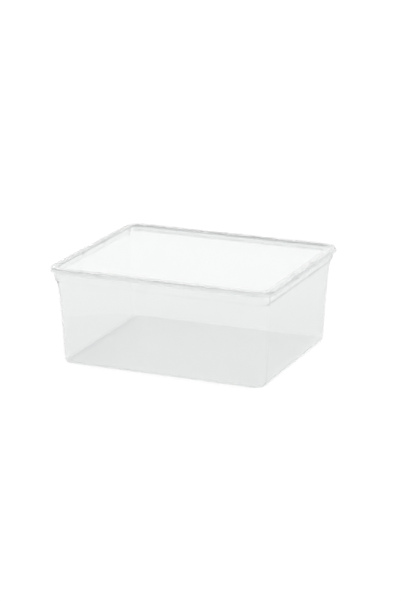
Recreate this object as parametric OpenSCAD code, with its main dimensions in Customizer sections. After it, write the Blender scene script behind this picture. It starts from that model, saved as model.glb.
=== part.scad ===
// Clear stackable shoe box: a thin-walled tub and a lift-off lid.
// The origin is the centre of the base. X runs along the long side, Y towards the back, Z up.
// Outlines are lists of [inset, height] points, where inset is the distance in from the
// lid's outer face. Each outline is swept round a rounded rectangle.

/* [Overall] */
// Length over the lid, along X
box_length = 380; // [340:5:420]
// Depth over the lid, along Y
box_depth = 324; // [280:4:360]
// Height with the lid on
box_height = 159; // [130:1:200]

/* [Tub] */
// Thickness of the side walls
wall = 1.6; // [1.3:0.1:2]
// Thickness of the floor
floor_t = 2; // [1.6:0.1:2.6]
// Inset of the walls where they meet the base fillet
foot_inset = 17.3; // [15.5:0.1:19]
// Inset of the walls under the collar
shoulder_inset = 9.5; // [9.3:0.1:11]
// Radius of the fillet round the base
base_fillet = 4.9; // [4:0.1:6]
// Distance from the lid's outer face to the centres of the wall corners
wall_corner = 36; // [34:0.5:40]

/* [Collar and rim] */
// Height of the collar, from the shoulder to the top of the rim
collar_h = 20; // [14:0.5:26]
// Inset of the collar's outer face
collar_inset = 7.5; // [7:0.1:8]
// Distance from the lid's outer face to the centres of the collar corners
collar_corner = 21.5; // [19:0.5:24]
// Thickness of the rim flange
rim_t = 1.6; // [1.3:0.1:2]
// Depth of the lip that turns down from the rim
lip_h = 3.6; // [3:0.1:4]

/* [Lid] */
// Thickness of the lid
lid_t = 1.5; // [1.3:0.1:1.7]
// Depth of the skirt round the lid
skirt_h = 7.4; // [7.2:0.1:8]
// Radius of the lid's outer corners
lid_corner = 28; // [26:0.5:34]
// Width of the flat land round the lid's top
land_w = 12; // [11:0.5:13]
// Depth of the recess that the next box stands in
recess_depth = 5.5; // [4.5:0.1:6]
// Width of the slope between the land and the recess
slope_w = 6.5; // [5.5:0.5:7.5]

/* [Snaps] */
// Distance between the snaps on the long sides
long_pitch = 101; // [80:1:110]
// Distance between the two snaps on each short side
short_pitch = 80; // [60:1:100]
// Length of a snap bead
bead_length = 12; // [8:1:16]
// Thickness of the ribs at the snaps
rib_t = 1.6; // [1.2:0.1:2]

/* [Hidden] */
$fn = 64;

// Heights
land_top = box_height;
land_under = land_top - lid_t;
skirt_bottom = land_top - skirt_h;
panel_top = land_top - recess_depth;
panel_under = panel_top - lid_t;
rib_h = 1;
seat_gap = 0.1;
rim_top = land_under - rib_h - seat_gap;
rim_under = rim_top - rim_t;
lip_bottom = rim_top - lip_h;
shoulder_z = rim_top - collar_h;

// Insets
skirt_t = 1.4;
skirt_draft = 0.4;
edge_round = 1.8;
rim_inset = 2.3;
lip_t = 1.3;
bead_reach = 0.6;
bead_h = 1;
bead_root = 0.5;
gusset_gap = 0.4;
gusset_drop = 2.4;
slope_round = 1.2;
arc_step = 22.5;
overlap = 0.05;

// Points on an arc of the given radius about a centre, from one angle to another
function arc(centre, radius, from, to) =
    let (n = ceil(abs(to - from) / arc_step))
    [for (i = [0:n]) let (a = from + (to - from) * i / n)
        centre + radius * [cos(a), sin(a)]];

// Sweeps an outline round the box, with corner arcs centred at the given inset
module swept(outline, corner) {
    section = [for (p = outline) [corner - p[0], p[1]]];
    cx = box_length / 2 - corner;
    cy = box_depth / 2 - corner;
    signs = [[1, 1], [-1, 1], [-1, -1], [1, -1]];
    for (i = [0:3])
        translate([signs[i][0] * cx, signs[i][1] * cy, 0])
            rotate([0, 0, 90 * i])
                rotate_extrude(angle = 90) polygon(section);
    for (side = [0, 1]) {
        mirror([side, 0, 0]) translate([cx, 0, 0])
            rotate([90, 0, 0])
                linear_extrude(2 * cy, center = true) polygon(section);
        mirror([0, side, 0]) translate([0, cy, 0])
            rotate([90, 0, 90])
                linear_extrude(2 * cx, center = true) polygon(section);
    }
}

// The middle of a floor or panel, inside the corner centres
module middle(corner, bottom, top) {
    cx = box_length / 2 - corner;
    cy = box_depth / 2 - corner;
    translate([-cx, -cy, bottom]) cube([2 * cx, 2 * cy, top - bottom]);
}

// A flat slab with rounded corners
module slab(inset, corner, bottom, top) {
    swept([[inset, bottom], [corner, bottom], [corner, top], [inset, top]], corner);
    middle(corner, bottom, top);
}

// Places its children at each snap, with +X out through the side and the origin on the lid's outer face
module at_snaps() {
    for (turn = [0, 180])
        rotate([0, 0, turn]) {
            for (i = [-1:1])
                translate([i * long_pitch, box_depth / 2, 0]) rotate([0, 0, 90]) children();
            for (i = [-0.5, 0.5])
                translate([box_length / 2, i * short_pitch, 0]) children();
        }
}

// A short bar at a snap, its section given as [inset, height] points
module bar(section, bar_length) {
    rotate([90, 0, 0])
        linear_extrude(bar_length, center = true) polygon([for (p = section) [-p[0], p[1]]]);
}

// Floor, base fillet and tapered walls
module walls() {
    inner_fillet = base_fillet - floor_t;
    outer_arc = arc([foot_inset + base_fillet, base_fillet], base_fillet, 270, 180);
    inner_arc = arc([foot_inset + wall + inner_fillet, base_fillet], inner_fillet, 180, 270);
    outline = concat(
        [[wall_corner, 0]],
        outer_arc,
        [[shoulder_inset, shoulder_z + wall], [shoulder_inset + wall, shoulder_z + wall]],
        inner_arc,
        [[wall_corner, floor_t]]);
    swept(outline, wall_corner);
    middle(wall_corner, 0, floor_t);
}

// Ledge that widens the walls out to the collar
module shoulder() {
    difference() {
        slab(collar_inset, collar_corner, shoulder_z, shoulder_z + wall);
        slab(shoulder_inset + wall - overlap, wall_corner, shoulder_z - 1, shoulder_z + wall + 1);
    }
}

// Upright band above the shoulder
module collar() {
    swept([
        [collar_inset, shoulder_z + wall / 2],
        [collar_inset, rim_under + rim_t / 2],
        [collar_inset + wall, rim_under + rim_t / 2],
        [collar_inset + wall, shoulder_z + wall / 2]], collar_corner);
}

// Flat flange round the mouth, with its turned-down lip
module rim() {
    difference() {
        slab(rim_inset, lid_corner, rim_under, rim_top);
        slab(collar_inset + wall, collar_corner, rim_under - 1, rim_top + 1);
    }
    swept([
        [rim_inset, lip_bottom],
        [rim_inset, rim_under + rim_t / 2],
        [rim_inset + lip_t, rim_under + rim_t / 2],
        [rim_inset + lip_t, lip_bottom]], lid_corner);
}

// Gussets that brace the lip against the collar at each snap
module gussets() {
    at_snaps() bar([
        [rim_inset + lip_t / 2, lip_bottom + gusset_gap],
        [rim_inset + lip_t / 2, rim_under + overlap],
        [collar_inset + wall / 2, rim_under + overlap],
        [collar_inset + wall / 2, lip_bottom - gusset_drop]], rib_t);
}

// Skirt, land, slope and panel of the lid
module lid_shell() {
    outer_top = arc([skirt_draft + edge_round, land_top - edge_round], edge_round, 180, 90);
    slope_end = land_w + slope_w;
    shoulder_arc = arc([land_w, land_top - slope_round], slope_round, 90, 45);
    outline = concat(
        [[skirt_t, skirt_bottom], [0, skirt_bottom]],
        outer_top,
        shoulder_arc,
        [[slope_end, panel_top], [lid_corner, panel_top], [lid_corner, panel_under]],
        [[slope_end - lid_t / 2, panel_under], [land_w - lid_t / 2, land_under]],
        [[skirt_t + skirt_draft, land_under]]);
    swept(outline, lid_corner);
    middle(lid_corner, panel_under, panel_top);
}

// Beads inside the skirt, just below the lip of the tub
module beads() {
    at_snaps() bar([
        [skirt_t - bead_root, skirt_bottom],
        [skirt_t, skirt_bottom],
        [skirt_t + bead_reach, skirt_bottom + bead_h / 2],
        [skirt_t, skirt_bottom + bead_h],
        [skirt_t - bead_root, skirt_bottom + bead_h]], bead_length);
}

// Ribs under the land that seat on the rim
module seat_ribs() {
    at_snaps() bar([
        [skirt_t, land_under - rib_h],
        [skirt_t, land_under + overlap],
        [land_w - lid_t, land_under + overlap],
        [land_w - lid_t, land_under - rib_h]], rib_t);
}

module tub() {
    color([0.9, 0.93, 0.93, 0.55]) {
        walls();
        shoulder();
        collar();
        rim();
        gussets();
    }
}

module lid() {
    color([0.93, 0.96, 0.96, 0.5]) {
        lid_shell();
        beads();
        seat_ribs();
    }
}

tub();
lid();
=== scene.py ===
import math

import bpy
from mathutils import Matrix, Vector


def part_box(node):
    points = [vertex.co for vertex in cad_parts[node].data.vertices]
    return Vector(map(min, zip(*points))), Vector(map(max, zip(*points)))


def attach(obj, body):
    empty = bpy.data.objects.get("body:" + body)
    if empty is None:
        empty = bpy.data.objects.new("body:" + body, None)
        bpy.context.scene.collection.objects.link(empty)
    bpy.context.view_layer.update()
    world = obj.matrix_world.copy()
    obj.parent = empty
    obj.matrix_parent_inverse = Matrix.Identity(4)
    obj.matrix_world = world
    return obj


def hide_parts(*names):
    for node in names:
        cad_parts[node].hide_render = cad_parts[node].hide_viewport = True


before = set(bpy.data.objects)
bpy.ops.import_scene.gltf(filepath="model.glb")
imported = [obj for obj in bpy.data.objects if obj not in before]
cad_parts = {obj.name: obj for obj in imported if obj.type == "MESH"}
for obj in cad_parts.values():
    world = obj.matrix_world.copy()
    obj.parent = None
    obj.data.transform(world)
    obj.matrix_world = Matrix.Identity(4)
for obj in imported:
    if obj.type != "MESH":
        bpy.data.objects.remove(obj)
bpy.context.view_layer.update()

# Lengths below are in millimetres; MM turns them into Blender's metres.
MM = 0.001
tub_low, tub_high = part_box("tub")
lid_low, lid_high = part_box("lid")

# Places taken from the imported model
HALF_X = lid_high.x / MM
HALF_Y = lid_high.y / MM
LAND_TOP = lid_high.z / MM
SKIRT_BOTTOM = lid_low.z / MM
RIM_TOP = tub_high.z / MM
RIM_INSET = (lid_high.x - tub_high.x) / MM
BASE = tub_low.z / MM

# Tub
WALL = 1.6
FLOOR_T = 2.0
FOOT_INSET = 17.3
BASE_FILLET = 5.8
WALL_CORNER = 36.0
COLLAR_CORNER = 21.5
COLLAR_INSET = 7.5
RIM_T = 1.6
LIP_H = 3.6
LIP_T = 1.3
FLOOR_CROWN = 0.35

# Lid
LID_T = 1.5
LID_CORNER = 28.0
LAND_W = 12.0
RECESS = 5.5
SLOPE_W = 6.5
SKIRT_T = 1.4
SKIRT_DRAFT = 0.4
PANEL_CROWN = 0.3

# Snaps
LONG_SNAPS = (-101.0, 0.0, 101.0)
SHORT_SNAPS = (-40.0, 40.0)
RIB_T = 0.9
RIB_H = 1.0
SNAP_FILL = 0.3
BEAD_LENGTH = 12.0
BEAD_REACH = 0.3

# Outer face of the walls as (height, inset) rows, from the foot of the wall up into the collar
WALL_CURVE = (
    (4.9, 17.25),
    (20.0, 16.7),
    (36.0, 15.95),
    (60.0, 14.4),
    (82.0, 12.95),
    (104.0, 11.5),
    (116.0, 10.85),
    (124.0, 10.5),
    (130.0, 10.15),
    (134.0, 9.75),
    (136.2, 9.25),
    (137.5, 8.35),
    (138.6, 7.85),
    (140.0, 7.65),
    (142.0, 7.57),
    (148.0, COLLAR_INSET),
)
# Centres of the tub's corner arcs as (height, inset) rows
CORNER_CURVE = (
    (94.0, WALL_CORNER),
    (104.0, 35.4),
    (116.0, 33.6),
    (122.0, 32.3),
    (128.0, 30.6),
    (132.0, 28.4),
    (135.0, 26.4),
    (137.0, 24.8),
    (139.0, 22.9),
    (141.0, 21.8),
    (144.0, COLLAR_CORNER),
)
ARC_STEPS = 24
# Upright ridges beside the collar's corners: distances from the corner arc, and how far the ridge
# stands out at each
RIDGE_LEADS = (2.6, 1.9, 1.55, 1.2, 0.85, 0.5, 0.2)
RIDGE_LIFT = {1.9: 0.1, 1.55: 0.35, 1.2: 0.45, 0.85: 0.35, 0.5: 0.1}
RIDGE_FOOT = 138.4
# Heights at which the walls are set down, close together where they turn into the collar
WALL_HEIGHTS = (
    14, 20, 28, 36, 44, 52, 60, 68, 76, 84, 92, 98, 104, 108, 112, 116, 119, 122, 124.5, 127,
    129, 131, 132.5, 134, 135, 136, 136.8, 137.5, 138.1, 138.7, 139.4, 140.2, 141, 142, 143,
    144, 145.5, 147, 149,
)
# Sizes of the rings that close the floor and the panel, as shares of the ring they start from
CAP_SCALES = (0.97, 0.9, 0.8, 0.7, 0.6, 0.5, 0.4, 0.3, 0.2, 0.1, 0.04)

# Insets at which the flat middles of the floor and the panel take over from the outlines
FLOOR_CAP_INSET = WALL_CORNER - 6.0
PANEL_CAP_INSET = LID_CORNER - 1.0
# Height at which the walls take over from the base fillet
FILLET_TOP = BASE_FILLET + 6.0
# Joins between stretches of the tub's outline: below the lip, above the lip, and below the rim
GUSSET_DROP = 2.4
LIP_GAP = 0.6
LIP_START = 0.5
COLLAR_IN_DROP = 6.0
# Points inside the skirt, and the middle of the bead, as heights above the skirt's lower edge
SKIRT_START = 0.45
SKIRT_STEPS = (4.6, 3.8, 3.0, 2.2, 1.6, 1.3, 1.1, 0.9, 0.7, 0.5)
BEAD_MID = 0.9
BEAD_HALF = 0.7
# Radii of the tub's edges
COLLAR_FILLET = 0.5
LIP_FILLET = 0.4
LIP_ROUND = 0.35
RIM_OUTER_ROUND = 0.6
RIM_INNER_ROUND = 0.7
# Radii of the lid's edges
PANEL_UNDER_ROUND = 1.5
LAND_UNDER_ROUND = 0.8
SKIRT_FILLET = 0.9
SKIRT_ROUND = 0.3
TOP_ROUND = 1.8
LAND_ROUND = 1.4
PANEL_ROUND = 1.6
# Lengths along a side over which a rib and a bead fade out
SNAP_EASE = 0.25
BEAD_EASE = 1.2

# Looks of the two mouldings. Bands are insets from the lid's outer face, in millimetres.
# The tints multiply each other. The floor values act only near the ground, so not on the lid; the floor
# tint is painted light that lifts the shade under the box.
TUB_LOOK = {
    "tint": (0.9285, 0.9365, 0.9355),
    "rough": 0.04,
    "haze": 0.01,
    "rim_band": (5.5, 7.4),
    "rim_tint": 1.06,
    "rim_rough": 0.05,
    "rim_haze": 0.06,
    # Painted light: the tub's floor is paler, lifting the shade under the box that shows through it.
    "floor_painted_light": 1.058,
    "floor_rough": 0.3,
    "wave": 0.05,
}
LID_LOOK = {
    "tint": (0.935, 0.942, 0.941),
    "rough": 0.05,
    "haze": 0.01,
    "rim_band": (10.0, 14.0),
    "rim_tint": 1.058,
    "rim_rough": 0.08,
    "rim_haze": 0.33,
    "floor_painted_light": 1.0,
    "floor_rough": 0.05,
    "wave": 0.05,
}
PLASTIC_IOR = 1.49
# How far the flow lines change the tint and the roughness, as factors
CLOUD_SPAN = (0.985, 1.0)
GLOSS_SPAN = (0.7, 1.5)
# Heights between which the look changes from the floor's to the walls', in floor thicknesses
FLOOR_FADE = (1.35, 2.5)
# Surfaces seen edge-on, where the layer weight passes through this span, turn soft and hazy
GRAZE_SPAN = (0.76, 0.88)
GRAZE_ROUGH = 0.3
# Share of the rim's haze that faces have where light leaves the plastic
EXIT_HAZE = 0.22


def smooth(t):
    """Eases from 0 to 1."""
    t = min(max(t, 0.0), 1.0)
    return t * t * (3.0 - 2.0 * t)


def mix(a, b, t):
    return a + (b - a) * t


def curve(rows, x):
    """Value at x of a smooth curve through (x, y) rows, flat beyond its ends."""
    if x <= rows[0][0]:
        return rows[0][1]
    if x >= rows[-1][0]:
        return rows[-1][1]
    k = max(i for i in range(len(rows) - 1) if rows[i][0] <= x)
    slopes = [(b[1] - a[1]) / (b[0] - a[0]) for a, b in zip(rows, rows[1:])]
    start = slopes[0] if k == 0 else (slopes[k - 1] + slopes[k]) / 2
    end = 0.0 if k == len(slopes) - 1 else (slopes[k] + slopes[k + 1]) / 2
    width = rows[k + 1][0] - rows[k][0]
    t = (x - rows[k][0]) / width
    keep = 2 * t ** 3 - 3 * t ** 2 + 1
    leave = t ** 3 - 2 * t ** 2 + t
    arrive = t ** 3 - t ** 2
    return keep * rows[k][1] + (1 - keep) * rows[k + 1][1] + width * (leave * start + arrive * end)


def wall_inset(z):
    """Inset of the wall's outer face at a height."""
    return curve(WALL_CURVE, z)


def tub_corner(z):
    """Inset of the centres of the tub's corner arcs at a height."""
    return curve(CORNER_CURVE, z)


def rounded(points, steps=5, guard=0.3):
    """An open outline of (inset, height, radius) vertices, each rounded, with guard points either side."""
    path = [Vector(points[0][:2])]
    for before, here, after in zip(points, points[1:], points[2:]):
        tip = Vector(here[:2])
        back = Vector(before[:2]) - tip
        ahead = Vector(after[:2]) - tip
        room = min(back.length, ahead.length)
        back.normalize()
        ahead.normalize()
        half = back.angle(ahead) / 2
        radius = min(here[2], 0.48 * room * math.tan(half))
        cut = radius / math.tan(half)
        centre = tip + (back + ahead).normalized() * radius / math.sin(half)
        first = tip + back * cut - centre
        last = tip + ahead * cut - centre
        if cut + guard < 0.5 * room:
            path.append(tip + back * (cut + guard))
        turn = first.angle_signed(last)
        for i in range(steps + 1):
            path.append(centre + Matrix.Rotation(-turn * i / steps, 2) @ first)
        if cut + guard < 0.5 * room:
            path.append(tip + ahead * (cut + guard))
    path.append(Vector(points[-1][:2]))
    return path


def near_snap(place, snaps, width, ease):
    """1 on a snap feature of the given width, easing to 0 beside it."""
    gap = min(abs(place - s) for s in snaps) - width / 2
    return 1.0 - smooth(gap / ease)


def side_places(half, snaps):
    """Places along a side where the outline is set down, close together at the snaps."""
    end_gap = 3.0
    spacing = 16
    clear_of_snaps = 1.5
    limit = half - WALL_CORNER - end_gap
    count = round(2 * limit / spacing)
    places = [mix(-limit, limit, i / count) for i in range(count + 1)]
    distances = [RIB_T / 2 + d for d in (0.0, SNAP_EASE * 0.48, SNAP_EASE)]
    distances += [BEAD_LENGTH / 2 + d for d in (-1.0, -0.6, -0.2, 0.2, 0.6, 1.0)]
    offsets = [0.0]
    for d in distances:
        offsets += [-d, d]
    features = [s + d for s in snaps for d in offsets]
    places = [p for p in places if min(abs(p - f) for f in features) > clear_of_snaps]
    return sorted(places + features)


def stations():
    """Every place round the box, as (kind, side or corner number, place or angle, snaps)."""
    along_y = side_places(HALF_Y, SHORT_SNAPS)
    along_x = side_places(HALF_X, LONG_SNAPS)
    made = []
    for quarter in range(4):
        places = along_y if quarter % 2 == 0 else along_x
        snaps = SHORT_SNAPS if quarter % 2 == 0 else LONG_SNAPS
        for place in places:
            made.append(("side", quarter, place, snaps))
        for lead in RIDGE_LEADS:
            made.append(("before", quarter, lead, ()))
        for i in range(ARC_STEPS + 1):
            made.append(("corner", quarter, math.pi / 2 * i / ARC_STEPS, ()))
        for lead in reversed(RIDGE_LEADS):
            made.append(("after", quarter, lead, ()))
    return made


def place_point(station, inset, corner, z):
    """The point at a station for an inset, a corner centre inset and a height, in metres."""
    kind, quarter, value, _ = station
    turned = quarter % 2 == 1
    half_out, half_along = (HALF_Y, HALF_X) if turned else (HALF_X, HALF_Y)
    if kind == "side":
        out, along = half_out - inset, value
    elif kind == "before":
        out, along = half_out - inset, half_along - corner - value
    elif kind == "after":
        out, along = half_out - corner - value, half_along - inset
    else:
        radius = corner - inset
        out = half_out - corner + radius * math.cos(value)
        along = half_along - corner + radius * math.sin(value)
    angle = math.pi / 2 * quarter
    x = out * math.cos(angle) - along * math.sin(angle)
    y = out * math.sin(angle) + along * math.cos(angle)
    return Vector((x, y, z)) * MM


def sweep(name, outline, crown):
    """A closed shell swept round the box, then capped. outline(station) lists (inset, corner, height)."""
    rings = [[place_point(s, *p) for p in outline(s)] for s in stations()]
    around, deep = len(rings), len(rings[0])
    verts = [p for ring in rings for p in ring]
    faces = []
    for a in range(around):
        b = (a + 1) % around
        for i in range(deep - 1):
            faces.append((a * deep + i, b * deep + i, b * deep + i + 1, a * deep + i + 1))
    for end, flip in ((0, True), (deep - 1, False)):
        rim = [a * deep + end for a in range(around)]
        previous = rim
        for scale in CAP_SCALES:
            start = len(verts)
            for v in rim:
                p = verts[v]
                lift = crown * MM * (1 - scale ** 2)
                verts.append(Vector((p.x * scale, p.y * scale, p.z + lift)))
            inner = list(range(start, start + around))
            for a in range(around):
                b = (a + 1) % around
                quad = (previous[a], previous[b], inner[b], inner[a])
                faces.append(quad[::-1] if flip else quad)
            previous = inner
        faces.append(tuple(previous[::-1] if flip else previous))
    mesh = bpy.data.meshes.new(name)
    mesh.from_pydata(verts, [], faces)
    mesh.validate()
    mesh.shade_smooth()
    obj = bpy.data.objects.new(name, mesh)
    bpy.context.scene.collection.objects.link(obj)
    return obj


def fill_gap(path, first, last, weight):
    """Draws the outline between two of its points towards a straight line, to make a web across the gap."""
    if weight <= 0:
        return path
    lengths = [0.0]
    for a, b in zip(path[first:last], path[first + 1:last + 1]):
        lengths.append(lengths[-1] + (b - a).length)
    moved = list(path)
    for i in range(first, last + 1):
        line = path[first].lerp(path[last], lengths[i - first] / lengths[-1])
        moved[i] = path[i].lerp(line, weight)
    return moved


def tub_outline(station):
    """Outline of the tub, from the middle of the floor's underside round to its top."""
    fillet_in = BASE_FILLET - FLOOR_T
    foot = rounded([
        (FLOOR_CAP_INSET, BASE, 0),
        (FOOT_INSET, BASE, BASE_FILLET),
        (wall_inset(FILLET_TOP), FILLET_TOP, 0)], steps=8)
    outer = [Vector((wall_inset(z), z)) for z in WALL_HEIGHTS]
    rim_under = RIM_TOP - RIM_T
    lip_bottom = RIM_TOP - LIP_H
    lip_in = RIM_INSET + LIP_T
    gap = rounded([
        (COLLAR_INSET, lip_bottom - GUSSET_DROP, 0),
        (COLLAR_INSET, rim_under, COLLAR_FILLET),
        (lip_in, rim_under, LIP_FILLET),
        (lip_in, lip_bottom + LIP_GAP, 0)], steps=4, guard=0.2)
    gap_start = len(foot) + len(outer)
    lip = rounded([
        (lip_in, lip_bottom + LIP_START, 0),
        (lip_in, lip_bottom, LIP_ROUND),
        (RIM_INSET, lip_bottom, LIP_ROUND),
        (RIM_INSET, RIM_TOP, RIM_OUTER_ROUND),
        (COLLAR_INSET + WALL, RIM_TOP, RIM_INNER_ROUND),
        (COLLAR_INSET + WALL, RIM_TOP - COLLAR_IN_DROP, 0)], steps=4, guard=0.2)
    inner = [Vector((wall_inset(z) + WALL, z)) for z in reversed(WALL_HEIGHTS)]
    seat = rounded([
        (wall_inset(FILLET_TOP) + WALL, FILLET_TOP, 0),
        (FOOT_INSET + WALL, FLOOR_T, fillet_in),
        (FLOOR_CAP_INSET, FLOOR_T, 0)], steps=8)
    path = foot + outer + gap + lip + inner + seat
    if station[0] == "side":
        weight = SNAP_FILL * near_snap(station[2], station[3], RIB_T, SNAP_EASE)
        path = fill_gap(path, gap_start, gap_start + len(gap) - 1, weight)
    if station[0] in ("before", "after"):
        lift = RIDGE_LIFT.get(station[2], 0.0)
        fade = 1.5
        for i in range(len(foot), gap_start + 4):
            path[i] = path[i] - Vector((lift * smooth((path[i].y - RIDGE_FOOT) / fade), 0.0))
    flange = range(gap_start, gap_start + len(gap) + len(lip) - 1)
    made = []
    for i, p in enumerate(path):
        corner = tub_corner(p.y)
        if i in flange:
            out = min(max((COLLAR_INSET - p.x) / (COLLAR_INSET - RIM_INSET), 0.0), 1.0)
            corner = mix(COLLAR_CORNER, LID_CORNER, out)
        made.append((p.x, corner, p.y))
    return made


def lid_outline(station):
    """Outline of the lid, from the middle of the panel's underside round to its top."""
    land_under = LAND_TOP - LID_T
    panel_top = LAND_TOP - RECESS
    panel_under = panel_top - LID_T
    slope_end = LAND_W + SLOPE_W
    shift = LID_T * 0.5
    panel = rounded([
        (PANEL_CAP_INSET, panel_under, 0),
        (slope_end - shift, panel_under, PANEL_UNDER_ROUND),
        (LAND_W - shift + 1.0, land_under - RIB_H, 0)], steps=5)[:-1]
    gap = rounded([
        (LAND_W - shift + SLOPE_W * (RIB_H / RECESS), land_under - RIB_H, 0),
        (LAND_W - shift, land_under, LAND_UNDER_ROUND),
        (SKIRT_T + SKIRT_DRAFT, land_under, SKIRT_FILLET),
        (SKIRT_T + SKIRT_DRAFT * 0.85, land_under - RIB_H, 0)], steps=5, guard=0.2)
    gap_start = len(panel)
    draft = SKIRT_DRAFT / (LAND_TOP - SKIRT_BOTTOM)
    skirt_in = [Vector((SKIRT_T + draft * h, SKIRT_BOTTOM + h)) for h in SKIRT_STEPS]
    skirt = rounded([
        (SKIRT_T, SKIRT_BOTTOM + SKIRT_START, 0),
        (SKIRT_T, SKIRT_BOTTOM, SKIRT_ROUND),
        (0.0, SKIRT_BOTTOM, SKIRT_ROUND),
        (SKIRT_DRAFT, LAND_TOP, TOP_ROUND),
        (LAND_W, LAND_TOP, LAND_ROUND),
        (slope_end, panel_top, PANEL_ROUND),
        (PANEL_CAP_INSET, panel_top, 0)], steps=6, guard=0.25)
    path = panel + gap + skirt_in + skirt
    if station[0] == "side":
        weight = SNAP_FILL * near_snap(station[2], station[3], RIB_T, SNAP_EASE)
        path = fill_gap(path, gap_start, gap_start + len(gap) - 1, weight)
        bead = near_snap(station[2], station[3], BEAD_LENGTH - BEAD_EASE, BEAD_EASE)
        for i in range(gap_start + len(gap), gap_start + len(gap) + len(skirt_in)):
            height = (path[i].y - SKIRT_BOTTOM - BEAD_MID) / BEAD_HALF
            path[i] = path[i] + Vector((BEAD_REACH * bead * max(0.0, 1.0 - height * height), 0.0))
    return [(p.x, LID_CORNER, p.y) for p in path]


def add(tree, kind, inputs, **settings):
    """A new node. An input given as another node's output is linked, and any other value is set."""
    made = tree.nodes.new(kind)
    for name, value in settings.items():
        setattr(made, name, value)
    for name, value in inputs.items():
        if isinstance(value, bpy.types.NodeSocket):
            tree.links.new(value, made.inputs[name])
        else:
            made.inputs[name].default_value = value
    return made


def span(tree, value, to_low, to_high, from_low=0.0, from_high=1.0, kind="LINEAR"):
    """Maps a value from one span to another."""
    ends = {"From Min": from_low, "From Max": from_high, "To Min": to_low, "To Max": to_high}
    ends["Value"] = value
    return add(tree, "ShaderNodeMapRange", ends, interpolation_type=kind).outputs["Result"]


def arithmetic(tree, operation, a, b):
    return add(tree, "ShaderNodeMath", {0: a, 1: b}, operation=operation).outputs["Value"]


def scaled(tree, vector, factor):
    made = add(tree, "ShaderNodeVectorMath", {0: vector, "Scale": factor}, operation="SCALE")
    return made.outputs["Vector"]


def blended(tree, factor, a, b):
    """Mixes two single values."""
    return add(tree, "ShaderNodeMix", {"Factor": factor, "A": a, "B": b}).outputs["Result"]


def rim_mask(tree, position, band):
    """1 on the outer rim band, easing to 0 inside it."""
    apart = add(tree, "ShaderNodeVectorMath", {0: position}, operation="ABSOLUTE")
    terms = {0: (HALF_X * MM, HALF_Y * MM, 1.0), 1: apart.outputs["Vector"]}
    inset = add(tree, "ShaderNodeVectorMath", terms, operation="SUBTRACT")
    split = add(tree, "ShaderNodeSeparateXYZ", {"Vector": inset.outputs["Vector"]})
    nearest = arithmetic(tree, "MINIMUM", split.outputs["X"], split.outputs["Y"])
    return span(tree, nearest, 1.0, 0.0, band[0] * MM, band[1] * MM, "SMOOTHSTEP")


def plastic_colour(tree, look, flow, edge, above_floor):
    """The tint, slightly uneven along the flow of the plastic, and paler at the rim, and paler at the tub's
    floor as painted light that lifts the shade under the box.
    """
    cloud = span(tree, flow, *CLOUD_SPAN)
    colour = scaled(tree, look["tint"], cloud)
    rim = (look["rim_tint"], look["rim_tint"], look["rim_tint"], 1.0)
    rimmed = add(tree, "ShaderNodeMix", {}, data_type="RGBA", blend_type="MULTIPLY")
    rimmed.inputs["B"].default_value = rim
    tree.links.new(edge, rimmed.inputs["Factor"])
    tree.links.new(colour, rimmed.inputs["A"])
    # Painted light on the tub's floor: a paler tint near the ground lifts the shade under the box.
    paler = span(tree, above_floor, look["floor_painted_light"], 1.0)
    return scaled(tree, rimmed.outputs["Result"], paler)


def plastic_roughness(tree, look, flow, edge, graze, above_floor):
    """Glossy walls and rim, a satin floor on the tub, and softer where a surface is seen edge-on."""
    gloss = span(tree, flow, look["rough"] * GLOSS_SPAN[0], look["rough"] * GLOSS_SPAN[1])
    with_rim = blended(tree, edge, gloss, look["rim_rough"])
    soft = blended(tree, graze, with_rim, GRAZE_ROUGH)
    return blended(tree, above_floor, look["floor_rough"], soft)


def plastic_clearness(tree, look, edge, graze):
    """How much light passes: less at the rim and edge-on, mostly on the faces that light enters."""
    denser = arithmetic(tree, "MAXIMUM", edge, graze)
    geometry = add(tree, "ShaderNodeNewGeometry", {})
    entering = span(tree, geometry.outputs["Backfacing"], 1.0, EXIT_HAZE)
    cloudy = arithmetic(tree, "MULTIPLY", denser, entering)
    return span(tree, cloudy, 1.0 - look["haze"], 1.0 - look["rim_haze"])


def orange_peel(tree, place, wave):
    """The faint waviness of a moulded surface."""
    peel = add(tree, "ShaderNodeTexNoise", {"Vector": place, "Scale": 45.0, "Detail": 2.0})
    ripple = {"Strength": wave, "Distance": 0.0006, "Height": peel.outputs["Fac"]}
    return add(tree, "ShaderNodeBump", ripple).outputs["Normal"]


def clear_plastic(name, look):
    """Clear moulded plastic: slightly cloudy, with gentle flow lines and a faint orange peel."""
    mat = bpy.data.materials.new(name)
    mat.use_nodes = True
    tree = mat.node_tree
    shader = tree.nodes["Principled BSDF"]
    place = add(tree, "ShaderNodeTexCoord", {}).outputs["Object"]
    lines = {"Vector": place, "Scale": 7.0, "Detail": 3.0, "Distortion": 0.6}
    flow = add(tree, "ShaderNodeTexNoise", lines).outputs["Fac"]
    edge = rim_mask(tree, place, look["rim_band"])
    height = add(tree, "ShaderNodeSeparateXYZ", {"Vector": place}).outputs["Z"]
    fade = [f * FLOOR_T * MM for f in FLOOR_FADE]
    above_floor = span(tree, height, 0.0, 1.0, *fade)
    facing = add(tree, "ShaderNodeLayerWeight", {}).outputs["Facing"]
    graze = span(tree, facing, 0.0, 1.0, *GRAZE_SPAN)
    outcomes = {
        "Base Color": plastic_colour(tree, look, flow, edge, above_floor),
        "Roughness": plastic_roughness(tree, look, flow, edge, graze, above_floor),
        "Transmission Weight": plastic_clearness(tree, look, edge, graze),
        "Normal": orange_peel(tree, place, look["wave"]),
    }
    shader.inputs["IOR"].default_value = PLASTIC_IOR
    for socket, outcome in outcomes.items():
        tree.links.new(outcome, shader.inputs[socket])
    return mat


def build_tub():
    tub = sweep("tub_shell", tub_outline, FLOOR_CROWN)
    tub.data.materials.append(clear_plastic("tub_clear", TUB_LOOK))
    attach(tub, "tub")
    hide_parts("tub")


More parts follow.
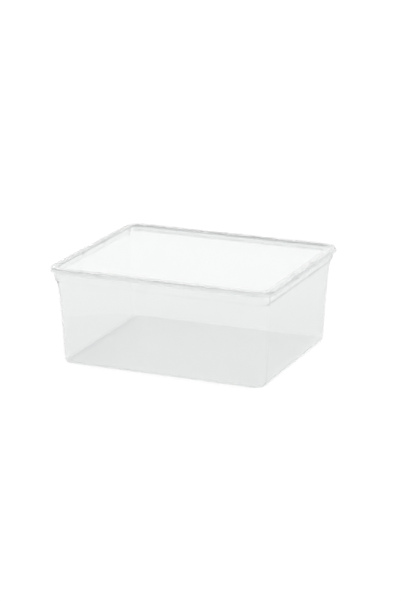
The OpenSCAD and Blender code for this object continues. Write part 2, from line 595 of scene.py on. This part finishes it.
def build_lid():
    lid = sweep("lid_shell", lid_outline, PANEL_CROWN)
    lid.data.materials.append(clear_plastic("lid_clear", LID_LOOK))
    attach(lid, "lid")
    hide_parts("lid")


def build_camera():
    """Camera at the photograph's viewing angle. Angles are in radians and lengths in metres."""
    azimuth = 0.404
    elevation = 0.2857
    distance = 3.4247
    target = Vector((0.0, 0.0, 0.07736))
    shift_x = -0.00751
    shift_y = -0.00676
    forward = Vector((
        -math.sin(azimuth) * math.cos(elevation),
        math.cos(azimuth) * math.cos(elevation),
        -math.sin(elevation)))
    right = Vector((math.cos(azimuth), math.sin(azimuth), 0.0))
    up = right.cross(forward)
    data = bpy.data.cameras.new("camera")
    data.lens = 126.7
    data.sensor_width = 36.0
    data.clip_start = 0.05
    data.clip_end = 60.0
    camera = bpy.data.objects.new("camera", data)
    camera.location = target - forward * distance - right * shift_x - up * shift_y
    camera.rotation_mode = "QUATERNION"
    camera.rotation_quaternion = forward.to_track_quat("-Z", "Y")
    bpy.context.scene.collection.objects.link(camera)
    bpy.context.scene.camera = camera


def floor_glow(tree):
    """Brightness of the ground: painted light under the box, where it glows higher to lift the box's shade,
    and painted shade in reflections of ground far off, where it glows lower.
    """
    own = 0.95
    # Painted shade: the ground seen in reflections from far off glows dimmer than it really is.
    painted_shade_in_reflections = 0.63
    # Painted light: the ground glows brighter in a patch under the box, lifting the shade there.
    painted_light_under_box = 1.21
    near_reach, far_reach = 0.012, 0.06
    under_band = (23.0, 29.0)
    path = add(tree, "ShaderNodeLightPath", {})
    reach = span(tree, path.outputs["Ray Length"], 0.0, 1.0, near_reach, far_reach)
    far = arithmetic(tree, "MULTIPLY", path.outputs["Is Reflection Ray"], reach)
    glow = span(tree, far, own, painted_shade_in_reflections)
    place = add(tree, "ShaderNodeTexCoord", {}).outputs["Object"]
    painted_light_patch = rim_mask(tree, place, under_band)
    under = span(tree, painted_light_patch, painted_light_under_box, 1.0)
    return arithmetic(tree, "MULTIPLY", glow, under)


def build_floor():
    """Plain pale floor. It glows in place of being lit, so the box casts no dark shadow; the glow also
    holds painted light under the box and painted shade in far reflections.
    """
    size = 8.0
    drop = -0.0004
    grey = 0.08
    mesh = bpy.data.meshes.new("studio_floor")
    verts = [(-size, -size, drop), (size, -size, drop), (size, size, drop), (-size, size, drop)]
    mesh.from_pydata(verts, [], [(0, 1, 2, 3)])
    floor = bpy.data.objects.new("studio_floor", mesh)
    bpy.context.scene.collection.objects.link(floor)
    mat = bpy.data.materials.new("studio_floor")
    mat.use_nodes = True
    tree = mat.node_tree
    shader = tree.nodes["Principled BSDF"]
    shader.inputs["Base Color"].default_value = (grey, grey, grey, 1.0)
    shader.inputs["Roughness"].default_value = 0.9
    shader.inputs["Specular IOR Level"].default_value = 0.0
    shader.inputs["Emission Color"].default_value = (1.0, 1.0, 1.0, 1.0)
    tree.links.new(floor_glow(tree), shader.inputs["Emission Strength"])
    floor.data.materials.append(mat)


def build_light():
    """Soft white surroundings that turn with the camera: bright behind the box, dimmer in front."""
    behind = 1.15
    in_front = 0.5
    on_hazy_parts = 1.5
    world = bpy.data.worlds.new("studio")
    world.use_nodes = True
    bpy.context.scene.world = world
    tree = world.node_tree
    background = tree.nodes["Background"]
    background.inputs["Color"].default_value = (1.0, 1.0, 1.0, 1.0)
    geometry = add(tree, "ShaderNodeNewGeometry", {})
    turn = add(tree, "ShaderNodeVectorTransform", {}, vector_type="VECTOR", convert_from="WORLD",
               convert_to="CAMERA")
    tree.links.new(geometry.outputs["Incoming"], turn.inputs["Vector"])
    split = add(tree, "ShaderNodeSeparateXYZ", {"Vector": turn.outputs["Vector"]})
    ramp = span(tree, split.outputs["Z"], behind, in_front, -1.0, 1.0)
    path = add(tree, "ShaderNodeLightPath", {})
    fill = span(tree, path.outputs["Is Diffuse Ray"], 1.0, on_hazy_parts)
    tree.links.new(arithmetic(tree, "MULTIPLY", ramp, fill), background.inputs["Strength"])


def set_view():
    """Plain colour, deep light paths for the clear walls, and soft fine lines."""
    scene = bpy.context.scene
    scene.view_settings.view_transform = "Standard"
    scene.view_settings.look = "None"
    scene.cycles.max_bounces = 64
    scene.cycles.transmission_bounces = 64
    scene.cycles.glossy_bounces = 48
    scene.cycles.diffuse_bounces = 8
    scene.cycles.transparent_max_bounces = 16
    scene.cycles.pixel_filter_type = "BLACKMAN_HARRIS"
    scene.cycles.filter_width = 2.4
    scene.cycles.use_denoising = True
    scene.cycles.denoiser = "OPENIMAGEDENOISE"


build_tub()
build_lid()
build_camera()
build_floor()
build_light()
set_view()
